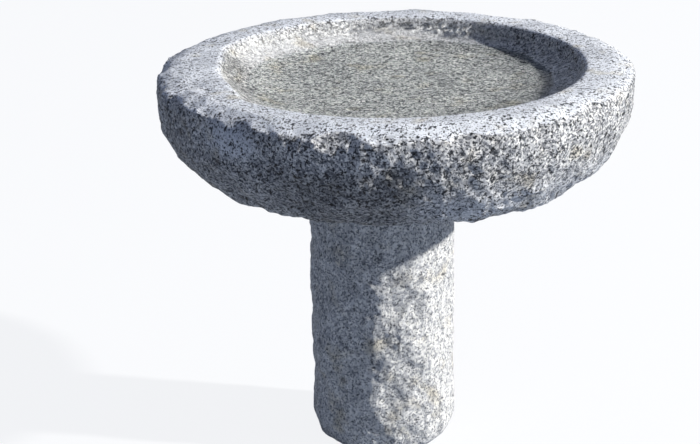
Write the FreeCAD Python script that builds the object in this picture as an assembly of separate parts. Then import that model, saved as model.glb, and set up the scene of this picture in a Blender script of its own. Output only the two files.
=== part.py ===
import FreeCAD, Part

# Granite pedestal birdbath. A shallow basin is cut into a round hewn bowl, and the bowl stands on a
# hewn column. A steel dowel, bonded into the column's head, locates the bowl, which is bedded on a
# rubber ring, so that it can be levelled, turned and lifted off.
# Millimetres, +Z up. The origin is on the ground, at the centre of the column's foot.
import math
import os

Vector = FreeCAD.Vector
Z_AXIS = Vector(0, 0, 1)

# Column
column_radius = 77.5
column_height = 292.0
column_head_bevel = 5.0
foot_edge_inset = 13.0
foot_edge_rise = 32.0
foot_edge_bulge = 4.0

# Bed joint between the column and the bowl
bedding_thickness = 4.0
bedding_margin = 18.0
bedding_bore_clearance = 4.0
dowel_radius = 10.0
dowel_in_column = 62.0
dowel_in_bowl = 42.0
dowel_end_bevel = 1.5
resin_wall = 3.0
resin_floor = 6.0
socket_clearance = 1.0
socket_headroom = 6.0

# Bowl
bowl_radius = 249.5
bowl_height = 124.0
bowl_offset = 16.0
rim_width = 50.5
shoulder_inset = 24.0
shoulder_drop = 5.0
shoulder_bulge = 0.8
belly_inset = 52.5
belly_bulge = 18.5
underside_rise = 12.0
seat_margin = 5.0

# Worn front of the bowl's arris, where it lies lower: depth, direction about the bowl's axis, narrowness
arris_dip = 7.0
arris_dip_direction = 265.0
arris_dip_focus = 6.0

# Basin: a steep lip under the mouth, then a shallow dish down to a flat floor, drawn to the back with depth
basin_depth = 33.0
basin_lean = 14.0
basin_step = 12.0
lip_run = 9.0
lip_drop = 13.0
lip_bulge = 0.5
dish_run = 75.0
dish_sag = 3.0

# Hewn sides: flat facets between rings of points, as uneven as handwork leaves them
bowl_facet_width = 38.0
bowl_facet_height = 25.0
bowl_hewing = 2.0
column_facet_width = 33.0
column_facet_height = 38.0
column_hewing = 1.5
edge_facet_height = 14.0
hewing_wander = 0.25

# Spalls knocked out of the bowl's outer arris: direction in degrees about the bowl's axis, depth of bite
spalls = ((28, 5.5), (74, 7.5), (118, 5), (206, 4.5), (232, 6.5), (257, 8), (286, 5), (322, 7))
spall_radius = 50.0

# Places that follow from the sizes above
seat_height = column_height + bedding_thickness
rim_height = seat_height + bowl_height
underside_height = seat_height + underside_rise
basin_floor_height = rim_height - basin_depth
seat_radius = column_radius + bowl_offset + seat_margin
mouth_radius = bowl_radius - rim_width
dish_radius = mouth_radius - lip_run
belly_foot_radius = bowl_radius - belly_inset
foot_radius = column_radius - foot_edge_inset
drilling_radius = dowel_radius + resin_wall
socket_radius = dowel_radius + socket_clearance
bedding_radius = column_radius - bedding_margin
bedding_bore_radius = dowel_radius + bedding_bore_clearance


def unevenness(index):
    """A repeatable scattered value from -1 to 1, for the unevenness of handwork."""
    return 2 * (math.sin(78.233 * index + 12.9898) * 43758.5453 % 1) - 1


def line(start, end):
    """A straight edge of a half profile, between two (radius, height) points."""
    return Part.LineSegment(Vector(start[0], 0, start[1]), Vector(end[0], 0, end[1]))


def arc(start, end, bulge):
    """An arc of a half profile. From start to end, its middle stands bulge to the right of the chord."""
    first = Vector(start[0], 0, start[1])
    last = Vector(end[0], 0, end[1])
    along = (last - first).normalize()
    middle = (first + last) / 2 + Vector(along.z, 0, -along.x) * bulge
    return Part.Arc(first, middle, last)


def outward(curve, place):
    """The normal of a half profile's arc that points away from the stone."""
    along = curve.tangent(place)[0]
    return Vector(along.z, 0, -along.x)


def even_steps(curve, length):
    """Points along a line or arc of a half profile, about a length apart, with both its ends."""
    count = max(1, round(curve.length() / length))
    step = (curve.LastParameter - curve.FirstParameter) / count
    return [curve.value(curve.FirstParameter + step * number) for number in range(count + 1)]


def ring(point, around, level, hewing):
    """Points round the Z axis at one height of the half profile, out of true by up to hewing."""
    points = []
    for number in range(around):
        place = number + around * level
        turn = 2 * math.pi * (number + level / 2 + hewing_wander * unevenness(place)) / around
        radius = point.x + hewing * unevenness(-place)
        points.append(Vector(radius * math.cos(turn), radius * math.sin(turn), point.z))
    return points


def make_rings(profile, facet_width, hewing):
    """One ring for each point of a half profile, all with as many points as fit round the widest."""
    around = round(2 * math.pi * max(point.x for point in profile) / facet_width)
    return [ring(point, around, level, hewing) for level, point in enumerate(profile)]


def hewn(rings):
    """A stone with flat ends and hewn sides: facets from ring to ring, bottom to top."""
    outlines = [rings[0], rings[-1]]
    for lower, upper in zip(rings, rings[1:]):
        for number in range(len(lower)):
            after = (number + 1) % len(lower)
            outlines.append([lower[number], lower[after], upper[number]])
            outlines.append([lower[after], upper[after], upper[number]])
    faces = [Part.Face(Part.makePolygon(outline + outline[:1])) for outline in outlines]
    return Part.makeSolid(Part.makeShell(faces))


def make_drilling():
    """The blind hole in the column's head."""
    depth = dowel_in_column + resin_floor
    return Part.makeCylinder(drilling_radius, depth, Vector(0, 0, column_height - depth))


def make_column():
    """The round pillar: flat foot and head, hewn sides, and a blind drilling for the dowel."""
    head = Vector(column_radius - column_head_bevel, 0, column_height)
    ankle = (column_radius, foot_edge_rise)
    shoulder = (column_radius, column_height - column_head_bevel)
    foot_edge = arc((foot_radius, 0), ankle, foot_edge_bulge)
    side = line(ankle, shoulder)
    profile = even_steps(foot_edge, edge_facet_height)
    profile += even_steps(side, column_facet_height)[1:] + [head]
    stone = hewn(make_rings(profile, column_facet_width, column_hewing))
    return stone.cut(make_drilling())


def make_dowel():
    """The steel pin, bevelled at both ends."""
    length = dowel_in_column + bedding_thickness + dowel_in_bowl
    pin = Part.makeCylinder(dowel_radius, length, Vector(0, 0, column_height - dowel_in_column))
    ends = [edge for edge in pin.Edges if isinstance(edge.Curve, Part.Circle)]
    return pin.makeChamfer(dowel_end_bevel, ends)


def make_resin(dowel):
    """The anchor resin that fills the drilling round and under the dowel."""
    return make_drilling().cut(dowel)


def make_bedding_ring():
    """The flat rubber ring between the two stones, loose round the dowel."""
    base = Vector(0, 0, column_height)
    disc = Part.makeCylinder(bedding_radius, bedding_thickness, base)
    return disc.cut(Part.makeCylinder(bedding_bore_radius, bedding_thickness, base))


def arris_drop(direction):
    """How far the worn arris lies under its true height, in a direction in degrees."""
    facing = (1 + math.cos(math.radians(direction - arris_dip_direction))) / 2
    return Vector(0, 0, -arris_dip * facing ** arris_dip_focus)


def worn_down(points, share):
    """A ring's points, lowered by a share of what the arris is worn down there."""
    return [point + arris_drop(math.degrees(math.atan2(point.y, point.x))) * share for point in points]


def make_spalls(arris, away):
    """The balls that knock the spalls out of the arris, where away points straight out of its corner."""
    balls = []
    for direction, bite in spalls:
        ball = Part.makeSphere(spall_radius, arris + away * (spall_radius - bite))
        ball.rotate(Vector(0, 0, 0), Z_AXIS, direction)
        ball.translate(arris_drop(direction))
        balls.append(ball)
    return balls


def make_basin():
    """The hollow of the basin, from ring to ring: flat floor, shallow dish and steep lip."""
    dish_edge = (dish_radius, rim_height - lip_drop)
    dish = arc((dish_radius - dish_run, basin_floor_height), dish_edge, dish_sag)
    lip = arc(dish_edge, (mouth_radius, rim_height), lip_bulge)
    circles = []
    for point in even_steps(dish, basin_step) + even_steps(lip, basin_step)[1:]:
        middle = Vector(0, basin_lean * (rim_height - point.z) / basin_depth, point.z)
        circles.append(Part.Wire(Part.Circle(middle, Z_AXIS, point.x).toShape()))
    return Part.makeLoft(circles, True, True)


def make_bowl():
    """The hewn bowl: slightly domed rim, sharp arris, belly drawn in to a flat seat, and the cut basin."""
    rim_edge = (bowl_radius - shoulder_inset, rim_height)
    arris = (bowl_radius, rim_height - shoulder_drop)
    belly = arc((belly_foot_radius, underside_height), arris, belly_bulge)
    shoulder = arc(arris, rim_edge, shoulder_bulge)
    side = [Vector(seat_radius, 0, seat_height)] + even_steps(belly, bowl_facet_height)[:-1]
    top = even_steps(shoulder, edge_facet_height)
    rings = make_rings(side + top, bowl_facet_width, bowl_hewing)
    for number in range(len(top)):
        place = len(side) + number
        rings[place] = worn_down(rings[place], 1 - number / (len(top) - 1))
    stone = hewn(rings)

    away = outward(belly, belly.LastParameter) + outward(shoulder, shoulder.FirstParameter)
    balls = make_spalls(belly.value(belly.LastParameter), away.normalize())
    stone = stone.cut(balls).cut(make_basin())
    stone.translate(Vector(bowl_offset, 0, 0))
    socket_depth = dowel_in_bowl + socket_headroom
    return stone.cut(Part.makeCylinder(socket_radius, socket_depth, Vector(0, 0, seat_height)))


def main():
    dowel = make_dowel()
    nodes = {
        "column": make_column(),
        "locating_dowel": dowel,
        "dowel_resin": make_resin(dowel),
        "bedding_ring": make_bedding_ring(),
        "bowl": make_bowl(),
    }
    os.makedirs("parts", exist_ok=True)
    for name, shape in nodes.items():
        shape.exportStep(f"parts/{name}.step")
        box = shape.optimalBoundingBox(False)
        print(f"{name}: {len(shape.Solids)} solid, {len(shape.Faces)} faces, valid {shape.isValid()}, "
              f"{box.XLength:.1f} x {box.YLength:.1f} x {box.ZLength:.1f} mm, {shape.Volume / 1e6:.2f} l")


main()
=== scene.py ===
import bpy
import math
from mathutils import Matrix, Vector, noise


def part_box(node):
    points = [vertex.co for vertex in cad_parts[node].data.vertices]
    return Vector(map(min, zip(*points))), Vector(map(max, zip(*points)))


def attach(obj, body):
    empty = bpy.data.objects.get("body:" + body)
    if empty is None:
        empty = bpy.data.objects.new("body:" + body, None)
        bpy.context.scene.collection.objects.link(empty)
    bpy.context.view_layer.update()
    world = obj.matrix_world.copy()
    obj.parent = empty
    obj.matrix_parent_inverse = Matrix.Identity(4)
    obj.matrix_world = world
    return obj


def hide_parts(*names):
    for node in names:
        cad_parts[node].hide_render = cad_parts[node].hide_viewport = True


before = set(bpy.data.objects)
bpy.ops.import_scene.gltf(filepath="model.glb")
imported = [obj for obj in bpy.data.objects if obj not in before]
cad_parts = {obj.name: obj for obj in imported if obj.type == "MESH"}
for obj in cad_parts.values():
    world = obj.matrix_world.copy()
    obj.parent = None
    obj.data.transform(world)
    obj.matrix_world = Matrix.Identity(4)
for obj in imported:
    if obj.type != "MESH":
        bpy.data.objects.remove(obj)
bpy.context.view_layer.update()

scene = bpy.context.scene
scene.view_settings.view_transform = "Standard"
mm = 0.001

bowlLow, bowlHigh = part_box("bowl")
columnLow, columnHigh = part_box("column")
bowlAxis = Vector((16 * mm, 0, 0))     # the bowl stands this far off the column's axis
rimHeight = bowlHigh.z
seatHeight = bowlLow.z
floorHeight = rimHeight - 33 * mm      # the basin's floor
waterHeight = rimHeight - 22 * mm
print("frame loaded, rim at", round(rimHeight, 4))


# Small helpers

def linear(hexColour):
    channels = [int(hexColour[place:place + 2], 16) / 255 for place in (1, 3, 5)]
    return [c / 12.92 if c <= 0.04045 else ((c + 0.055) / 1.055) ** 2.4 for c in channels] + [1.0]


def addNode(tree, kind, inputs=None, stops=(), **settings):
    made = tree.nodes.new(kind)
    for name, value in settings.items():
        setattr(made, name, value)
    for number, (place, colour) in enumerate(stops):  # a colour ramp's stops
        ramp = made.color_ramp.elements
        stop = ramp[number] if number < 2 else ramp.new(place)
        stop.position = place
        stop.color = linear(colour)
    for socket, value in (inputs or {}).items():
        if isinstance(value, bpy.types.NodeSocket):
            tree.links.new(value, made.inputs[socket])
        else:
            made.inputs[socket].default_value = value
    return made.outputs


def newMaterial(name):
    material = bpy.data.materials.new(name)
    material.use_nodes = True
    material.node_tree.nodes.clear()
    return material, material.node_tree


def pickOnly(piece):
    bpy.ops.object.select_all(action="DESELECT")
    piece.select_set(True)
    bpy.context.view_layer.objects.active = piece


def between(low, high, value):  # 0 below low, 1 above high, eased
    share = min(1, max(0, (value - low) / (high - low)))
    return share * share * (3 - 2 * share)


def band(zone, value):  # 1 inside a zone, which fades in and out between its two pairs of limits
    fadeIn, fadeOut = zone
    return between(*fadeIn, value) * (1 - between(*fadeOut, value))


def applyModifier(piece, kind, **settings):
    modifier = piece.modifiers.new(kind.lower(), kind)
    for name, value in settings.items():
        setattr(modifier, name, value)
    bpy.ops.object.modifier_apply(modifier=modifier.name)


def weigh(piece, groupName, rule):  # a vertex group, weighted by each vertex's place and normal
    old = piece.vertex_groups.get(groupName)
    if old:
        piece.vertex_groups.remove(old)
    group = piece.vertex_groups.new(name=groupName)
    for vertex in piece.data.vertices:
        group.add([vertex.index], rule(vertex.co, vertex.normal), "REPLACE")


def mark(piece, name, values):  # a value on each vertex that the material reads
    piece.data.attributes.new(name, "FLOAT", "POINT").data.foreach_set("value", values)


def roughen(piece, name, groupName, kind, size, depth, level=0.5):
    texture = bpy.data.textures.new(name, kind)
    texture.noise_scale = size
    if kind == "CLOUDS":
        texture.noise_depth = 2
        texture.noise_basis = "IMPROVED_PERLIN"
    applyModifier(piece, "DISPLACE", texture=texture, texture_coords="LOCAL", vertex_group=groupName,
                  strength=depth, mid_level=level)


def keepInside(piece, low, high):  # no chip stands out past the solid's own box
    for vertex in piece.data.vertices:
        vertex.co = [min(most, max(least, along)) for least, along, most in zip(low, vertex.co, high)]


# Granite, split and tooled: interlocked crystals of milky feldspar and grey glassy quartz, with dark
# biotite flakes. Tool blows bruise the crystals, so worked faces and break edges are whiter. The white
# is tinted sky blue as painted sky light, ridges are paler, partly bruise and partly painted light,
# and hollows are darkened as painted shade. What was dressed, wet, scaled or hollow is marked on the stone's
# vertices.

def makeGranite(name, look):
    material, tree = newMaterial(name)
    place = addNode(tree, "ShaderNodeTexCoord")["Object"]
    dressed, wet, film, hollow = [addNode(tree, "ShaderNodeAttribute", attribute_name=marked)["Fac"]
                                  for marked in ("dressed", "wet", "film", "hollow")]

    # crystals with crooked borders
    wanderSize, wanderReach = look["wander"]
    wander = addNode(tree, "ShaderNodeTexNoise",
                     {"Vector": place, "Scale": 1 / wanderSize, "Detail": 2.0})["Color"]
    crooked = addNode(tree, "ShaderNodeVectorMath", {0: wander, 1: (wanderReach,) * 3, 2: place},
                      operation="MULTIPLY_ADD")["Vector"]
    crystals = addNode(tree, "ShaderNodeTexVoronoi", {"Vector": crooked, "Scale": 1 / look["crystal"]})
    pick = addNode(tree, "ShaderNodeSeparateColor", {"Color": crystals["Color"]})
    dry = addNode(tree, "ShaderNodeValToRGB", {"Fac": pick["Red"]}, stops=look["minerals"])["Color"]
    soaked = addNode(tree, "ShaderNodeValToRGB", {"Fac": pick["Red"]}, stops=look["wetMinerals"])["Color"]
    flakeTone = addNode(tree, "ShaderNodeValToRGB", {"Fac": pick["Blue"]}, stops=look["biotite"])["Color"]

    # flakes in loose clusters, fewer where the stone is bruised, and fine pepper between them
    flakes = addNode(tree, "ShaderNodeTexNoise",
                     {"Vector": crooked, "Scale": 1 / look["flake"], "Detail": 3.0, "Roughness": 0.62})["Fac"]
    clusterSize, clusterSpan = look["cluster"]
    cluster = addNode(tree, "ShaderNodeTexNoise",
                      {"Vector": place, "Scale": 1 / clusterSize, "Detail": 2.0})["Fac"]
    edge = addNode(tree, "ShaderNodeMath",
                   {0: cluster, 1: clusterSpan, 2: look["flakeEdge"] - clusterSpan / 2},
                   operation="MULTIPLY_ADD")["Value"]
    edge = addNode(tree, "ShaderNodeMath", {0: dressed, 1: -look["flakesLostToBlows"], 2: edge},
                   operation="MULTIPLY_ADD")["Value"]
    depth = addNode(tree, "ShaderNodeMath", {0: edge, 1: flakes}, operation="SUBTRACT")["Value"]
    isFlake = addNode(tree, "ShaderNodeMapRange", {"Value": depth, "From Max": look["flakeBlur"]})["Result"]
    pepper = addNode(tree, "ShaderNodeTexNoise",
                     {"Vector": place, "Scale": 1 / look["pepper"], "Detail": 1.0})["Fac"]
    isPepper = addNode(tree, "ShaderNodeMapRange",
                       {"Value": pepper, "From Min": look["pepperEdge"],
                        "From Max": look["pepperEdge"] - look["flakeBlur"]})["Result"]
    isDark = addNode(tree, "ShaderNodeMath", {0: isFlake, 1: isPepper}, operation="MAXIMUM")["Value"]

    # how much there is of each layer
    # ridges are made paler: partly bruising by tool blows, partly painted light
    ridge = addNode(tree, "ShaderNodeMapRange",
                    {"Value": hollow, "From Min": 0.0, "From Max": -1.0,
                     "To Max": look["ridgeBruiseAndLight"]})["Result"]
    bruise = addNode(tree, "ShaderNodeMath", {0: dressed, 1: look["bruise"], 2: ridge},
                     operation="MULTIPLY_ADD", use_clamp=True)["Value"]
    stainSize, stainFrom, stainTo = look["stain"]
    stain = addNode(tree, "ShaderNodeTexNoise",
                    {"Vector": place, "Scale": 1 / stainSize, "Detail": 3.0})["Fac"]
    stained = addNode(tree, "ShaderNodeMapRange",
                      {"Value": stain, "From Min": stainFrom, "From Max": stainTo,
                       "To Max": look["stainDepth"]})["Result"]
    across, along, toneDepth = look["tone"]
    spread = addNode(tree, "ShaderNodeMapping",
                     {"Vector": place, "Scale": (1 / across, 1 / across, 1 / along)})["Vector"]
    tone = addNode(tree, "ShaderNodeTexNoise", {"Vector": spread, "Scale": 1.0, "Detail": 4.0})["Fac"]
    toneFrom, toneTo = look["toneLevels"]
    toned = addNode(tree, "ShaderNodeMapRange",
                    {"Value": tone, "From Min": toneFrom, "From Max": toneTo, "To Max": toneDepth})["Result"]
    # painted shade: the deeper a hollow, the darker it is made
    shadeInHollows = addNode(tree, "ShaderNodeMapRange",
                   {"Value": hollow, "From Min": 0.0, "From Max": 1.0,
                    "To Max": look["hollowShade"]})["Result"]

    # the whitened layer's blue tint is painted sky light
    layers = ((bruise, linear(look["bruisedAndSkyBlue"]), "MIX"), (wet, soaked, "MIX"), (isDark, flakeTone, "MIX"),
              (film, linear(look["filmTint"]), "MIX"), (stained, linear(look["stainTint"]), "MULTIPLY"),
              (toned, linear(look["toneTint"]), "MULTIPLY"), (shadeInHollows, linear(look["shadeTint"]), "MULTIPLY"))
    stone = dry
    for share, tint, way in layers:
        stone = addNode(tree, "ShaderNodeMixRGB", {"Fac": share, "Color1": stone, "Color2": tint},
                        blend_type=way)["Color"]

    grit = addNode(tree, "ShaderNodeTexNoise",
                   {"Vector": place, "Scale": 1 / look["grit"], "Detail": 3.0, "Roughness": 0.6})["Fac"]
    gritBump = addNode(tree, "ShaderNodeBump", {"Height": grit, "Distance": look["gritDepth"]})["Normal"]
    crystalBump = addNode(tree, "ShaderNodeBump",
                          {"Height": pick["Green"], "Distance": look["crystalDepth"],
                           "Normal": gritBump})["Normal"]
    glossy, matt = look["roughness"]
    gloss = addNode(tree, "ShaderNodeMapRange",
                    {"Value": pick["Blue"], "To Min": glossy, "To Max": matt})["Result"]
    surface = addNode(tree, "ShaderNodeBsdfPrincipled",
                      {"Base Color": stone, "Roughness": gloss, "IOR": look["ior"],
                       "Specular IOR Level": look["specular"], "Normal": crystalBump})["BSDF"]
    addNode(tree, "ShaderNodeOutputMaterial", {"Surface": surface})
    return material


# Hewing: a stone is copied from its solid, roughened, broken into flats and roughened again

def copyOfNode(nodeName, pieceName):
    piece = bpy.data.objects.new(pieceName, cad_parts[nodeName].data.copy())
    piece.data.name = pieceName
    piece.data.materials.clear()
    scene.collection.objects.link(piece)
    pickOnly(piece)
    bpy.ops.object.mode_set(mode="EDIT")
    bpy.ops.mesh.select_all(action="SELECT")
    bpy.ops.mesh.remove_doubles(threshold=0.01 * mm)
    bpy.ops.object.mode_set(mode="OBJECT")
    return piece


def remesh(piece, voxel):
    piece.data.remesh_voxel_size = voxel
    bpy.ops.object.voxel_remesh()


def hew(piece, recipe, hewnRule, softRule):
    remesh(piece, recipe["coarseVoxel"])
    weigh(piece, "soft", softRule)
    applyModifier(piece, "SMOOTH", factor=0.5, iterations=recipe["soften"], vertex_group="soft")
    weigh(piece, "hewn", hewnRule)
    for number, (kind, size, depth) in enumerate(recipe["breaks"]):
        roughen(piece, piece.name + "Breaks" + str(number), "hewn", kind, size, depth, recipe["level"])
    applyModifier(piece, "DECIMATE", ratio=recipe["flatShare"])
    print(piece.name, "flats", len(piece.data.polygons))
    remesh(piece, recipe["fineVoxel"])
    weigh(piece, "hewn", hewnRule)
    for number, (kind, size, depth) in enumerate(recipe["hackle"]):
        roughen(piece, piece.name + "Hackle" + str(number), "hewn", kind, size, depth, recipe["level"])
    triangles = 2 * len(piece.data.polygons)
    applyModifier(piece, "DECIMATE", ratio=min(1, recipe["mostFaces"] / triangles))


# 1 in pits and -1 on ridges that lie the recipe's hollowDepth or more under or over the smoothed skin
def markHollows(piece, recipe, rule=None):
    before = [vertex.co.copy() for vertex in piece.data.vertices]
    smooth = bpy.data.objects.new(piece.name + "Smooth", piece.data.copy())
    scene.collection.objects.link(smooth)
    pickOnly(smooth)
    applyModifier(smooth, "SMOOTH", factor=0.5, iterations=recipe["hollowRounds"])
    deep = []
    for place, vertex in zip(before, smooth.data.vertices):
        sunk = (vertex.co - place).dot(vertex.normal) / recipe["hollowDepth"]
        sunk = rule(place, vertex.normal, sunk) if rule else sunk
        deep.append(max(-1, min(1, sunk)))
    mark(piece, "hollow", deep)
    bpy.data.meshes.remove(smooth.data)
    pickOnly(piece)


# Bowl. Directions are degrees about its axis. A zone fades in over one pair of radii and out over another.

bowlStone = {
    "coarseVoxel": 4.0 * mm,
    "soften": 10,
    "breaks": (("CLOUDS", 70 * mm, 5 * mm), ("VORONOI", 28 * mm, 5 * mm),      # kind, size, depth
               ("CLOUDS", 15 * mm, 3 * mm)),
    "flatShare": 0.22,
    "fineVoxel": 2.0 * mm,
    "hackle": (("VORONOI", 10 * mm, 2.8 * mm), ("CLOUDS", 5 * mm, 1.6 * mm)),
    "level": 0.53,                         # the share of each depth that is cut in, the rest stands out
    "mostFaces": 185000,
    "hollowRounds": 8,
    "hollowDepth": 1.2 * mm,
    "spanFade": (15, 10),                  # degrees past and before its ends in which a span fades

    # side: how rough it was left, by direction
    "roughness": ((0, 0.9), (60, 0.7), (120, 0.8), (170, 0.8), (215, 0.9), (240, 1.0), (360, 0.9)),
    "sideFade": (-4 * mm, 10 * mm),        # from the rim's outer radius
    "upperSide": (50 * mm, 90 * mm),       # heights over the seat from belly to upper side
    "seat": (96 * mm, 120 * mm),           # radii about the column between which the flat bed fades out
    "bedFade": (4 * mm, 12 * mm),          # heights over the seat
    "sharpFoot": (16 * mm, 40 * mm),       # heights over the seat up to which the belly's foot stays sharp
    "sharpArris": (8 * mm, 18 * mm),       # depths under the rim down to which the arris stays sharp
    "wornArris": ((140, 205), (298, 360), (0, 20)),   # where the arris is worn round all the same
    "wornArrisShare": 0.7,
    "flatSide": (118, 194),                # where the back left of the side is hewn a little flat
    "flatSideFade": 20,
    "flatRadius": (234 * mm, 246 * mm),
    "flatDepth": 1.5 * mm,
    "footBruiseAndLight": (280, 350),             # where the belly's foot is whitened: partly tool bruising, partly painted light where the sunlit belly turns down
    "whitenedFootShare": 0.35,
    "whitenedFootTop": (35 * mm, 65 * mm),  # heights over the seat
    "bellyShade": (((196, 246), 0.35), ((240, 272), 0.85)),   # where the belly's shaded front and left are darkened as painted shade, how much
    "shadeBelowRim": (30 * mm, 55 * mm),      # depths under the rim

    # break under the arris, a smooth chip that is longer than high, whitened as painted sky light
    "breakTurn": 229,
    "breakRadius": 244 * mm,
    "breakDrop": 24 * mm,                  # under the rim
    "breakReach": (12 * mm, 24 * mm),
    "breakStretch": 2,
    "breakSmooth": 0.8,
    # painted sky light: how far the break is whitened
    "breakSkyLight": 0.7,

    # rim, bush-hammered between these radii
    "rimTop": (204 * mm, 238 * mm),
    "rimFade": (-4 * mm, 8 * mm),          # from its inner radius
    "rimShare": 0.22,                      # of the side's roughness
    "coarseRim": (142, 222),               # where it was left coarser
    "coarseRimShare": 0.45,
    "rimLooksUp": (0.6, 0.88),             # the normal's upward part, from side to whitened rim
    "rimBruise": (-22 * mm, -10 * mm),     # heights from the rim over which the whitening fades in

    # mouth of the basin
    "basinReach": 210 * mm,
    "floorMargin": 12 * mm,                # the basin's rules hold from this far under its floor
    "roundLip": ((190 * mm, 198 * mm), (200 * mm, 208 * mm)),
    "lipHeight": 16 * mm,
    "thickLip": (163, 210),                # where the rim was left wider
    "thickLipZone": ((172 * mm, 188 * mm), (199 * mm, 206 * mm)),
    "thickLipDepth": 9 * mm,
    "mouthLooksUp": (0.7, 0.9),
    "mouthTop": (2 * mm, 5 * mm),          # depths under the rim
    "mouthBruise": (198 * mm, 207 * mm),

    # basin wall
    "cutLooksUp": 0.2,                     # a cut face's normal points up by more than this
    "wornWall": (55, 215),                 # where lip and dish are worn to one slope
    "wornWallZone": ((160 * mm, 172 * mm), (196 * mm, 208 * mm)),
    "wornRounds": 24,
    "wallWaves": (60 * mm, 1.8 * mm),      # size and depth of the unevenness of the cut basin
    "wavesEnd": (184 * mm, 200 * mm),
    "dish": (("dishLeft", (168, 222), 3.5 * mm), ("dishBack", (35, 82), -3 * mm)),   # left high or cut deep
    "dishZone": ((130 * mm, 165 * mm), (186 * mm, 196 * mm)),
    "toolSpacing": 6 * mm,                 # chisel furrows down the wall, spaced so at the next radius
    "toolRadius": 175 * mm,
    "toolZone": ((140 * mm, 165 * mm), (196 * mm, 203 * mm)),
    "toolTop": (1.5 * mm, 5 * mm),         # depths under the rim
    "toolDepth": 1.3 * mm,
    "toolDryShare": 0.3,                   # of that depth, away from the damp side
    "toolSlant": 0.35,
    "toolWander": (30 * mm, 6 * mm),       # size and reach
    "toolPatches": (25 * mm, (-0.3, 0.4)),   # size, and levels from bare to furrowed
    # painted shade: how dark the chisel furrows are made
    "furrowShade": 1.6,
    "basinHollows": 0.25,                  # how much of the side's painted shade in hollows the rest of the basin keeps
    "wallBruise": 0.2,
    "damp": (158, 214),                    # where the wall above the water is damp
    "dampShare": 0.85,
    "dampEnd": (196 * mm, 206 * mm),
    "dampTop": (2 * mm, 5 * mm),           # depths under the rim
    "dampHides": 0.7,                      # how much of the wall's whitening
    "wetEdge": (-3 * mm, 1 * mm),          # heights from the water
    "film": (55, 152),                     # where pale scale covers the wall
    "filmShare": 0.36,
    "filmEdge": (-2 * mm, 2 * mm),         # heights from the water
    "filmEnd": (190 * mm, 204 * mm),
}
bowlGranite = {
    "wander": (3 * mm, 1.3 * mm),      # size and reach
    "crystal": 2.1 * mm,
    "minerals": ((0.0, "#606368"), (0.2, "#8b8d91"), (0.45, "#b1b2b5"), (0.7, "#d1d1d1"), (1.0, "#ebeae7")),
    "wetMinerals": ((0.0, "#646667"), (0.3, "#9b9d9d"), (0.65, "#c5c6c4"), (1.0, "#edece6")),
    "flake": 3.9 * mm,
    "flakeEdge": 0.445,                # the share of dark mica, as a level of the pattern
    "flakeBlur": 0.04,
    "flakesLostToBlows": 0.012,             # how much of that level tool blows take away
    "cluster": (14 * mm, 0.12),        # size, and how far it moves that level
    "pepper": 1.9 * mm,
    "pepperEdge": 0.41,
    "biotite": ((0.0, "#0e0f13"), (0.5, "#2b2d32"), (1.0, "#5a5d63")),
    "bruise": 0.8,
    # paler ridges, partly bruising and partly painted light
    "ridgeBruiseAndLight": 0.2,
    # white of tool blows, tinted sky blue as painted sky light
    "bruisedAndSkyBlue": "#f1f5fc",
    "filmTint": "#f0f0ee",
    # painted shade in the hollows: how dark, and the colour it darkens towards
    "hollowShade": 0.6,
    "shadeTint": "#56575b",
    "stain": (32 * mm, 0.57, 0.72),    # size, and levels from clean to stained
    "stainDepth": 0.6,
    "stainTint": "#eadfc6",
    "tone": (42 * mm, 42 * mm, 0.4),   # size across and along, and depth
    "toneLevels": (0.62, 0.35),
    "toneTint": "#b4b6ba",
    "grit": 1.8 * mm,
    "gritDepth": 0.5 * mm,
    "crystalDepth": 0.3 * mm,
    "roughness": (0.6, 0.9),
    "ior": 1.53,
    "specular": 0.2,                   # a split face scatters, so little of the crystals' gloss is left
}


def fromBowlAxis(place):
    return math.hypot(place.x - bowlAxis.x, place.y - bowlAxis.y)


def aboutBowlAxis(place):  # degrees
    return math.degrees(math.atan2(place.y - bowlAxis.y, place.x - bowlAxis.x)) % 360


def facing(place, span):  # 1 between two directions, fading out past them
    start, end = span
    past, before = bowlStone["spanFade"]
    turn = aboutBowlAxis(place)
    return between(start - past, start + before, turn) * (1 - between(end - before, end + past, turn))


def overFloor(place):
    return place.z > floorHeight - bowlStone["floorMargin"]


def inBasin(place):
    return fromBowlAxis(place) < bowlStone["basinReach"] and overFloor(place)


def isCut(place, normal):  # the floor and the wall of the basin
    return inBasin(place) and normal.z > bowlStone["cutLooksUp"]


def onSeat(place):
    return 1 - between(*bowlStone["seat"], math.hypot(place.x, place.y))


def onBreak(place):
    along = math.radians(aboutBowlAxis(place) - bowlStone["breakTurn"]) * bowlStone["breakRadius"]
    away = Vector((along / bowlStone["breakStretch"], fromBowlAxis(place) - bowlStone["breakRadius"],
                   place.z - rimHeight + bowlStone["breakDrop"]))
    return 1 - between(*bowlStone["breakReach"], away.length)


def bowlRoughness(place):
    turn = aboutBowlAxis(place)
    for (start, first), (end, last) in zip(bowlStone["roughness"], bowlStone["roughness"][1:]):
        if start <= turn <= end:
            return first + (last - first) * between(start, end, turn)


def bowlSoft(place, normal):  # facets and the mouth's edge are worn soft, most of the arris stays sharp
    fromAxis = fromBowlAxis(place)
    lipEnd = bowlStone["roundLip"][1][1]
    if place.z > rimHeight - bowlStone["lipHeight"] and fromAxis < lipEnd:
        return band(bowlStone["roundLip"], fromAxis)
    outside = 1 if fromAxis > lipEnd or not overFloor(place) else 0
    aboveFoot = between(*bowlStone["sharpFoot"], place.z - seatHeight)
    worn = bowlStone["wornArrisShare"] * max(facing(place, span) for span in bowlStone["wornArris"])
    underArris = max(worn, between(*bowlStone["sharpArris"], rimHeight - place.z))
    return outside * (1 - onSeat(place)) * underArris * aboveFoot


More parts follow.
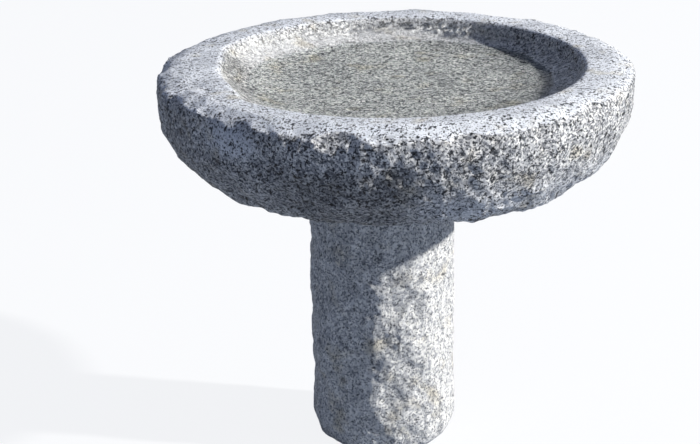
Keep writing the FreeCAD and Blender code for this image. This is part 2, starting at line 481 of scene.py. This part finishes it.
def bowlHewn(place, normal):
    fromAxis = fromBowlAxis(place)
    inner, outer = bowlStone["rimTop"]
    if fromAxis < inner and overFloor(place):
        return 0
    side = between(*bowlStone["sideFade"], fromAxis - outer)
    rough = bowlStone["rimShare"]
    rough += (bowlStone["coarseRimShare"] - rough) * facing(place, bowlStone["coarseRim"])
    top = rough * between(*bowlStone["rimFade"], fromAxis - inner)
    upper = between(*bowlStone["upperSide"], place.z - seatHeight)
    weight = bowlRoughness(place) * (max(top, side) * upper + (1 - upper))
    weight *= 1 - bowlStone["breakSmooth"] * onBreak(place)
    flatBed = onSeat(place) * (1 - between(*bowlStone["bedFade"], place.z - seatHeight))
    return weight * (1 - flatBed)


def onFlatSide(place, normal):
    start, end = bowlStone["flatSide"]
    fade = bowlStone["flatSideFade"]
    turn = aboutBowlAxis(place)
    outside = between(*bowlStone["flatRadius"], fromBowlAxis(place))
    return outside * between(start, start + fade, turn) * (1 - between(end - fade, end, turn))


def onThickLip(place, normal):
    if not inBasin(place):
        return 0
    return band(bowlStone["thickLipZone"], fromBowlAxis(place)) * facing(place, bowlStone["thickLip"])


def onWornWall(place, normal):
    if not inBasin(place):
        return 0
    return band(bowlStone["wornWallZone"], fromBowlAxis(place)) * facing(place, bowlStone["wornWall"])


def onWaves(place, normal):
    return 1 - between(*bowlStone["wavesEnd"], fromBowlAxis(place)) if isCut(place, normal) else 0


def onDish(place, normal):
    return band(bowlStone["dishZone"], fromBowlAxis(place)) if isCut(place, normal) else 0


def toolMarks(place, normal):  # slanting furrows, in patches
    if not isCut(place, normal):
        return 0
    fromAxis = fromBowlAxis(place)
    onWall = band(bowlStone["toolZone"], fromAxis) * between(*bowlStone["toolTop"], rimHeight - place.z)
    wanderSize, wanderReach = bowlStone["toolWander"]
    along = math.atan2(place.y - bowlAxis.y, place.x - bowlAxis.x) * bowlStone["toolRadius"]
    along += bowlStone["toolSlant"] * fromAxis + wanderReach * noise.noise(place / wanderSize)
    furrow = 0.5 + 0.5 * math.sin(2 * math.pi * along / bowlStone["toolSpacing"])
    dry = bowlStone["toolDryShare"]
    deep = dry + (1 - dry) * facing(place, bowlStone["damp"])
    patchSize, patchLevels = bowlStone["toolPatches"]
    return onWall * furrow * deep * between(*patchLevels, noise.noise(place / patchSize))


def bowlDressed(place, normal):  # where tool blows whitened the stone; on the sunlit foot this is partly painted light, and on the break under the arris painted sky light
    if inBasin(place):
        onTop = 1 - between(*bowlStone["mouthTop"], rimHeight - place.z)
        onRim = between(*bowlStone["mouthLooksUp"], normal.z) * onTop
        wall = bowlStone["wallBruise"]
        worked = wall + (1 - wall) * max(onRim, between(*bowlStone["mouthBruise"], fromBowlAxis(place)))
        if onRim > 0.5:
            return worked
        return worked * (1 - bowlStone["dampHides"] * facing(place, bowlStone["damp"]))
    rim = between(*bowlStone["rimLooksUp"], normal.z) * between(*bowlStone["rimBruise"], place.z - rimHeight)
    # partly painted light: the sunlit foot of the belly is whitened as well as bruised
    foot = 1 - between(*bowlStone["whitenedFootTop"], place.z - seatHeight)
    foot *= bowlStone["whitenedFootShare"] * facing(place, bowlStone["footBruiseAndLight"])
    # painted sky light: the break under the arris is whitened
    return max(rim, foot, bowlStone["breakSkyLight"] * onBreak(place))


def bowlWet(place, normal):
    if not inBasin(place):
        return 0
    damp = bowlStone["dampShare"] * facing(place, bowlStone["damp"])
    damp *= 1 - between(*bowlStone["dampEnd"], fromBowlAxis(place))
    damp *= between(*bowlStone["dampTop"], rimHeight - place.z)
    return max(damp, 1 - between(*bowlStone["wetEdge"], place.z - waterHeight))


def bowlFilm(place, normal):
    if not inBasin(place):
        return 0
    aboveWater = between(*bowlStone["filmEdge"], place.z - waterHeight)
    underLip = 1 - between(*bowlStone["filmEnd"], fromBowlAxis(place))
    return bowlStone["filmShare"] * aboveWater * underLip * facing(place, bowlStone["film"])


def bowlHollows(place, normal, sunk):  # the belly's front and left under the rim darkened as painted shade; the basin's hollows darken less, and its chisel furrows are darkened as painted shade
    if not inBasin(place):
        # painted shade on the belly's shaded front and left, below the rim
        underRim = between(*bowlStone["shadeBelowRim"], rimHeight - place.z)
        return sunk + underRim * max(share * facing(place, span) for span, share in bowlStone["bellyShade"])
    # painted shade in the chisel furrows, except under the pale scale
    furrows = toolMarks(place, normal) * (1 - facing(place, bowlStone["film"]))
    return bowlStone["basinHollows"] * sunk + bowlStone["furrowShade"] * furrows


def press(piece, groupName, rule, rise):  # lifts or sinks a surface where a rule says so
    weigh(piece, groupName, rule)
    applyModifier(piece, "DISPLACE", vertex_group=groupName, strength=rise, mid_level=0)


def makeBowl():
    bowl = copyOfNode("bowl", "bowlStone")
    hew(bowl, bowlStone, bowlHewn, bowlSoft)
    press(bowl, "thickLip", onThickLip, bowlStone["thickLipDepth"])
    keepInside(bowl, bowlLow, bowlHigh)
    weigh(bowl, "wornWall", onWornWall)
    applyModifier(bowl, "SMOOTH", factor=0.5, iterations=bowlStone["wornRounds"], vertex_group="wornWall")
    weigh(bowl, "basin", onWaves)
    roughen(bowl, "basinWaves", "basin", "CLOUDS", *bowlStone["wallWaves"])
    for name, span, rise in bowlStone["dish"]:
        press(bowl, name, lambda place, normal: onDish(place, normal) * facing(place, span), rise)
    press(bowl, "tooled", toolMarks, -bowlStone["toolDepth"])
    press(bowl, "flat", onFlatSide, -bowlStone["flatDepth"])
    keepInside(bowl, bowlLow, bowlHigh)
    bpy.ops.object.shade_smooth()
    for name, rule in (("dressed", bowlDressed), ("wet", bowlWet), ("film", bowlFilm)):
        mark(bowl, name, [rule(vertex.co, vertex.normal) for vertex in bowl.data.vertices])
    markHollows(bowl, bowlStone, bowlHollows)
    bowl.data.materials.append(makeGranite("graniteBowlPitched", bowlGranite))
    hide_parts("bowl")
    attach(bowl, "bowl")
    print("bowl hewn,", len(bowl.data.polygons), "faces")


# Column

columnStone = {
    "coarseVoxel": 3.4 * mm,
    "soften": 6,
    "breaks": (("CLOUDS", 48 * mm, 4 * mm), ("VORONOI", 30 * mm, 4.8 * mm),    # kind, size, depth
               ("CLOUDS", 13 * mm, 2.4 * mm)),
    "flatShare": 0.2,
    "fineVoxel": 1.6 * mm,
    "hackle": (("VORONOI", 9 * mm, 1.9 * mm), ("CLOUDS", 4.5 * mm, 1.0 * mm)),
    "level": 0.44,
    "mostFaces": 150000,
    "hollowRounds": 8,
    "hollowDepth": 1.0 * mm,
    "flatEnd": 52 * mm,      # foot and head stay sawn flat inside this radius
    "endFade": 8 * mm,       # height over which the hewing fades out at foot and head
}
# The same granite, pointed: paler, with small grey flakes and upright streaks
columnGranite = dict(
    bowlGranite,
    minerals=((0.0, "#8c8e92"), (0.25, "#bcbdc0"), (0.5, "#d9d9d8"), (0.75, "#e3e2df"), (1.0, "#e8e7e2")),
    flake=3.4 * mm,
    flakeEdge=0.41,
    pepperEdge=0.4,
    biotite=((0.0, "#494b4f"), (0.5, "#707276"), (1.0, "#9c9ea1")),
    # painted shade in the hollows, fainter than on the bowl
    hollowShade=0.25,
    # paler ridges, partly bruising and partly painted light
    ridgeBruiseAndLight=0.25,
    tone=(6 * mm, 14 * mm, 0.6),
    gritDepth=0.25 * mm,
    crystalDepth=0.2 * mm,
)


def columnHewn(place, normal):
    if math.hypot(place.x, place.y) < columnStone["flatEnd"]:
        return 0
    foot = between(0, columnStone["endFade"], place.z - columnLow.z)
    head = between(0, columnStone["endFade"], columnHigh.z - place.z)
    return foot * head


def makeColumn():
    column = copyOfNode("column", "columnStone")
    hew(column, columnStone, columnHewn, columnHewn)
    keepInside(column, columnLow, columnHigh)
    bpy.ops.object.shade_smooth()
    markHollows(column, columnStone)
    column.data.materials.append(makeGranite("graniteColumnPointed", columnGranite))
    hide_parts("column")
    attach(column, "pedestal")
    print("column hewn,", len(column.data.polygons), "faces")


# Water

waterPool = {
    "segments": 96,
    "middle": (16 * mm, 9 * mm),
    # the bed's rings inside the stone, radius and height from the rim
    "bed": ((20, -39), (70, -39), (110, -39), (135, -36), (165, -29), (182, -25)),
    "shore": 186,            # the top's radius, which runs a little into the stone
    "topStep": 7,
    "topSkin": 0.1 * mm,     # only what is nearer to the top than this ripples
    "rippleSize": 45 * mm,
    "rippleDepth": 0.7 * mm,
    "tint": "#f4f6f7",
    "ior": 1.333,
    "mirror": 0.2,           # of what water can mirror, as under a sky that is dimmer than the white studio
    "mirrorBlur": 0.02,
}


def makeWater():
    rings = [(radius * mm, rimHeight + height * mm) for radius, height in waterPool["bed"]]
    rings += [(radius * mm, waterHeight) for radius in range(waterPool["shore"], 0, -waterPool["topStep"])]
    bpy.ops.object.select_all(action="DESELECT")
    bpy.ops.mesh.primitive_circle_add(vertices=waterPool["segments"], radius=rings[0][0], fill_type="NGON",
                                      location=(*waterPool["middle"], rings[0][1]))
    water = bpy.context.active_object
    water.name = "basinWater"
    bpy.ops.object.mode_set(mode="EDIT")
    bpy.ops.mesh.select_all(action="SELECT")
    for (radius, height), (nextRadius, nextHeight) in zip(rings, rings[1:]):
        bpy.ops.mesh.extrude_region_move(TRANSFORM_OT_translate={"value": (0, 0, nextHeight - height)})
        share = nextRadius / radius
        bpy.ops.transform.resize(value=(share, share, 1), center_override=(*waterPool["middle"], nextHeight))
    bpy.ops.mesh.select_all(action="SELECT")
    bpy.ops.mesh.normals_make_consistent(inside=False)
    bpy.ops.object.mode_set(mode="OBJECT")
    bpy.ops.object.transform_apply(location=True, rotation=True, scale=True)
    topHeight = waterHeight - waterPool["topSkin"]
    weigh(water, "top", lambda place, normal: 1 if place.z > topHeight else 0)
    roughen(water, "waterRipples", "top", "CLOUDS", waterPool["rippleSize"], waterPool["rippleDepth"])
    bpy.ops.object.shade_smooth()

    # Still clear water: it mirrors the sky at a low angle, lifts the floor by refraction and lets light in
    material, tree = newMaterial("stillWater")
    rays = addNode(tree, "ShaderNodeLightPath")
    tint = linear(waterPool["tint"])
    bent = addNode(tree, "ShaderNodeBsdfRefraction",
                   {"Color": tint, "Roughness": 0.0, "IOR": waterPool["ior"]})["BSDF"]
    mirrored = addNode(tree, "ShaderNodeBsdfGlossy",
                       {"Color": (1, 1, 1, 1), "Roughness": waterPool["mirrorBlur"]})["BSDF"]
    fresnel = addNode(tree, "ShaderNodeFresnel", {"IOR": waterPool["ior"]})["Fac"]
    share = addNode(tree, "ShaderNodeMath", {0: fresnel, 1: waterPool["mirror"]},
                    operation="MULTIPLY")["Value"]
    clear = addNode(tree, "ShaderNodeMixShader", {0: share, 1: bent, 2: mirrored})["Shader"]
    letIn = addNode(tree, "ShaderNodeBsdfTransparent", {"Color": tint})["BSDF"]
    both = addNode(tree, "ShaderNodeMixShader", {0: rays["Is Shadow Ray"], 1: clear, 2: letIn})["Shader"]
    addNode(tree, "ShaderNodeOutputMaterial", {"Surface": both})
    water.data.materials.append(material)
    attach(water, "bowl")
    print("water filled in,", len(water.data.polygons), "faces")


# Bed joint: the pin, its resin and the rubber ring keep their CAD shapes

def dressNode(nodeName, material):
    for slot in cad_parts[nodeName].material_slots:
        slot.material = material
    print(nodeName, "dressed in", material.name)


# Drawn stainless bar: fine bright lines along its length
dowelSteel = {
    "colour": ((0.3, "#a9abae"), (0.7, "#c4c6c8")),
    "lineWidth": 0.5 * mm,
    "lineLength": 30 * mm,
    "bump": 0.05 * mm,
    "roughness": (0.22, 0.36),
}


def makeDowelSteel():
    material, tree = newMaterial("drawnStainlessBar")
    place = addNode(tree, "ShaderNodeTexCoord")["Object"]
    width, length = dowelSteel["lineWidth"], dowelSteel["lineLength"]
    along = addNode(tree, "ShaderNodeMapping",
                    {"Vector": place, "Scale": (1 / width, 1 / width, 1 / length)})["Vector"]
    lines = addNode(tree, "ShaderNodeTexNoise", {"Vector": along, "Scale": 1.0, "Detail": 2.0})["Fac"]
    colour = addNode(tree, "ShaderNodeValToRGB", {"Fac": lines}, stops=dowelSteel["colour"])["Color"]
    glossy, matt = dowelSteel["roughness"]
    gloss = addNode(tree, "ShaderNodeMapRange", {"Value": lines, "To Min": glossy, "To Max": matt})["Result"]
    bump = addNode(tree, "ShaderNodeBump", {"Height": lines, "Distance": dowelSteel["bump"]})["Normal"]
    surface = addNode(tree, "ShaderNodeBsdfPrincipled",
                      {"Base Color": colour, "Metallic": 1.0, "Roughness": gloss, "Normal": bump})["BSDF"]
    addNode(tree, "ShaderNodeOutputMaterial", {"Surface": surface})
    dressNode("locating_dowel", material)


# Cast anchor resin: grey filler grains in a slightly glossy binder
dowelResin = {
    "colour": ((0.35, "#7d7a73"), (0.65, "#96928a")),
    "grain": 1.2 * mm,
    "bump": 0.2 * mm,
    "roughness": 0.45,
}


def makeDowelResin():
    material, tree = newMaterial("castAnchorResin")
    place = addNode(tree, "ShaderNodeTexCoord")["Object"]
    grains = addNode(tree, "ShaderNodeTexNoise",
                     {"Vector": place, "Scale": 1 / dowelResin["grain"], "Detail": 3.0})["Fac"]
    colour = addNode(tree, "ShaderNodeValToRGB", {"Fac": grains}, stops=dowelResin["colour"])["Color"]
    bump = addNode(tree, "ShaderNodeBump", {"Height": grains, "Distance": dowelResin["bump"]})["Normal"]
    surface = addNode(tree, "ShaderNodeBsdfPrincipled",
                      {"Base Color": colour, "Roughness": dowelResin["roughness"], "Normal": bump})["BSDF"]
    addNode(tree, "ShaderNodeOutputMaterial", {"Surface": surface})
    dressNode("dowel_resin", material)


# Black sheet rubber: matt, with a faint grey bloom and a fine pressed grain
beddingRubber = {
    "colour": ((0.35, "#1b1b1c"), (0.7, "#2c2c2d")),
    "bloom": 14 * mm,
    "grain": 0.9 * mm,
    "bump": 0.1 * mm,
    "roughness": 0.75,
}


def makeBeddingRubber():
    material, tree = newMaterial("sheetRubberBlack")
    place = addNode(tree, "ShaderNodeTexCoord")["Object"]
    bloom = addNode(tree, "ShaderNodeTexNoise",
                    {"Vector": place, "Scale": 1 / beddingRubber["bloom"], "Detail": 4.0})["Fac"]
    colour = addNode(tree, "ShaderNodeValToRGB", {"Fac": bloom}, stops=beddingRubber["colour"])["Color"]
    grain = addNode(tree, "ShaderNodeTexVoronoi",
                    {"Vector": place, "Scale": 1 / beddingRubber["grain"]})["Distance"]
    bump = addNode(tree, "ShaderNodeBump", {"Height": grain, "Distance": beddingRubber["bump"]})["Normal"]
    surface = addNode(tree, "ShaderNodeBsdfPrincipled",
                      {"Base Color": colour, "Roughness": beddingRubber["roughness"], "Normal": bump})["BSDF"]
    addNode(tree, "ShaderNodeOutputMaterial", {"Surface": surface})
    dressNode("bedding_ring", material)


# Stage

stageLook = {
    "floor": "#fbfcfe",
    "floorInBounce": "#9fa9b9",   # what the floor gives back to the stone
    "floorGlow": 0.9,             # the rest of what the camera sees of the floor is lit, and holds the shadow
    "floorSize": 40.0,
    "backdrop": 0.93,             # as bright as the far floor
    "keyPlace": (6.985, -1.421, 3.982),
    "keyAim": (0, 0, 0.35),
    "keySize": 0.32,
    "keyPower": 1190,
    "keyTint": "#fffcf6",
    "fill": (0.13, 0.38),         # the soft light from the horizon and from overhead
    "fillTint": "#bfd0f6",
}


# 1 on rays from the camera, also off water and metal or through water, before any soft bounce
def raysThatSee(tree):
    rays = addNode(tree, "ShaderNodeLightPath")
    seen = addNode(tree, "ShaderNodeMath", {0: rays["Is Camera Ray"], 1: rays["Is Glossy Ray"]},
                   operation="MAXIMUM")["Value"]
    seen = addNode(tree, "ShaderNodeMath", {0: seen, 1: rays["Is Transmission Ray"]},
                   operation="MAXIMUM")["Value"]
    unbounced = addNode(tree, "ShaderNodeMath", {0: rays["Diffuse Depth"], 1: 0.5},  # the depth is 0, 1, 2...
                        operation="LESS_THAN")["Value"]
    return addNode(tree, "ShaderNodeMath", {0: seen, 1: unbounced}, operation="MULTIPLY")["Value"]


def makeStage():
    bpy.ops.object.select_all(action="DESELECT")
    bpy.ops.mesh.primitive_plane_add(size=stageLook["floorSize"], location=(0, 0, columnLow.z))
    floor = bpy.context.active_object
    floor.name = "studioFloor"
    # Studio paper: white to the eye, greyer to the stone so that it throws back no more than the ground does
    material, tree = newMaterial("studioPaper")
    white = linear(stageLook["floor"])
    paper = addNode(tree, "ShaderNodeBsdfDiffuse", {"Color": white})["BSDF"]
    dim = addNode(tree, "ShaderNodeBsdfDiffuse", {"Color": linear(stageLook["floorInBounce"])})["BSDF"]
    glow = addNode(tree, "ShaderNodeEmission", {"Color": white, "Strength": 1.0})["Emission"]
    seen = addNode(tree, "ShaderNodeMixShader", {0: stageLook["floorGlow"], 1: paper, 2: glow})["Shader"]
    both = addNode(tree, "ShaderNodeMixShader", {0: raysThatSee(tree), 1: dim, 2: seen})["Shader"]
    addNode(tree, "ShaderNodeOutputMaterial", {"Surface": both})
    floor.data.materials.append(material)

    bpy.ops.object.light_add(type="AREA", location=stageLook["keyPlace"])
    key = bpy.context.active_object
    key.name = "keyLight"
    key.data.shape = "DISK"
    key.data.size = stageLook["keySize"]
    key.data.energy = stageLook["keyPower"]
    key.data.color = linear(stageLook["keyTint"])[:3]
    aim = Vector(stageLook["keyAim"]) - key.location
    key.rotation_euler = aim.to_track_quat("-Z", "Y").to_euler()

    world = bpy.data.worlds.new("studioWorld")
    scene.world = world
    world.use_nodes = True
    tree = world.node_tree
    tree.nodes.clear()
    towards = addNode(tree, "ShaderNodeTexCoord")["Generated"]
    height = addNode(tree, "ShaderNodeSeparateXYZ", {"Vector": towards})["Z"]
    level, overhead = stageLook["fill"]
    strength = addNode(tree, "ShaderNodeMapRange",
                       {"Value": height, "To Min": level, "To Max": overhead})["Result"]
    soft = addNode(tree, "ShaderNodeBackground",
                   {"Color": linear(stageLook["fillTint"]), "Strength": strength})["Background"]
    backdrop = addNode(tree, "ShaderNodeBackground",
                       {"Color": white, "Strength": stageLook["backdrop"]})["Background"]
    both = addNode(tree, "ShaderNodeMixShader", {0: raysThatSee(tree), 1: soft, 2: backdrop})["Shader"]
    addNode(tree, "ShaderNodeOutputWorld", {"Surface": both})
    print("stage set")


# Camera at the photograph's viewing angle

photoView = {
    "place": (0.015, -2.0, 0.9586),
    "pitch": 19.67,    # degrees below level
    "pan": 1.41,       # degrees to the left
    "roll": -1.15,     # degrees, the picture's right side stands a little high
    "lens": 101.5,
    "sensor": 36.0,
}


def makeCamera():
    bpy.ops.object.camera_add(location=photoView["place"])
    camera = bpy.context.active_object
    camera.name = "photoCamera"
    turn = Matrix.Rotation(math.radians(photoView["pan"]), 3, "Z")
    turn = turn @ Matrix.Rotation(math.radians(90 - photoView["pitch"]), 3, "X")
    turn = turn @ Matrix.Rotation(math.radians(photoView["roll"]), 3, "Z")
    camera.rotation_euler = turn.to_euler()
    camera.data.lens = photoView["lens"]
    camera.data.sensor_width = photoView["sensor"]
    scene.camera = camera
    print("camera set")


makeBowl()
makeColumn()
makeWater()
makeDowelSteel()
makeDowelResin()
makeBeddingRubber()
makeStage()
makeCamera()
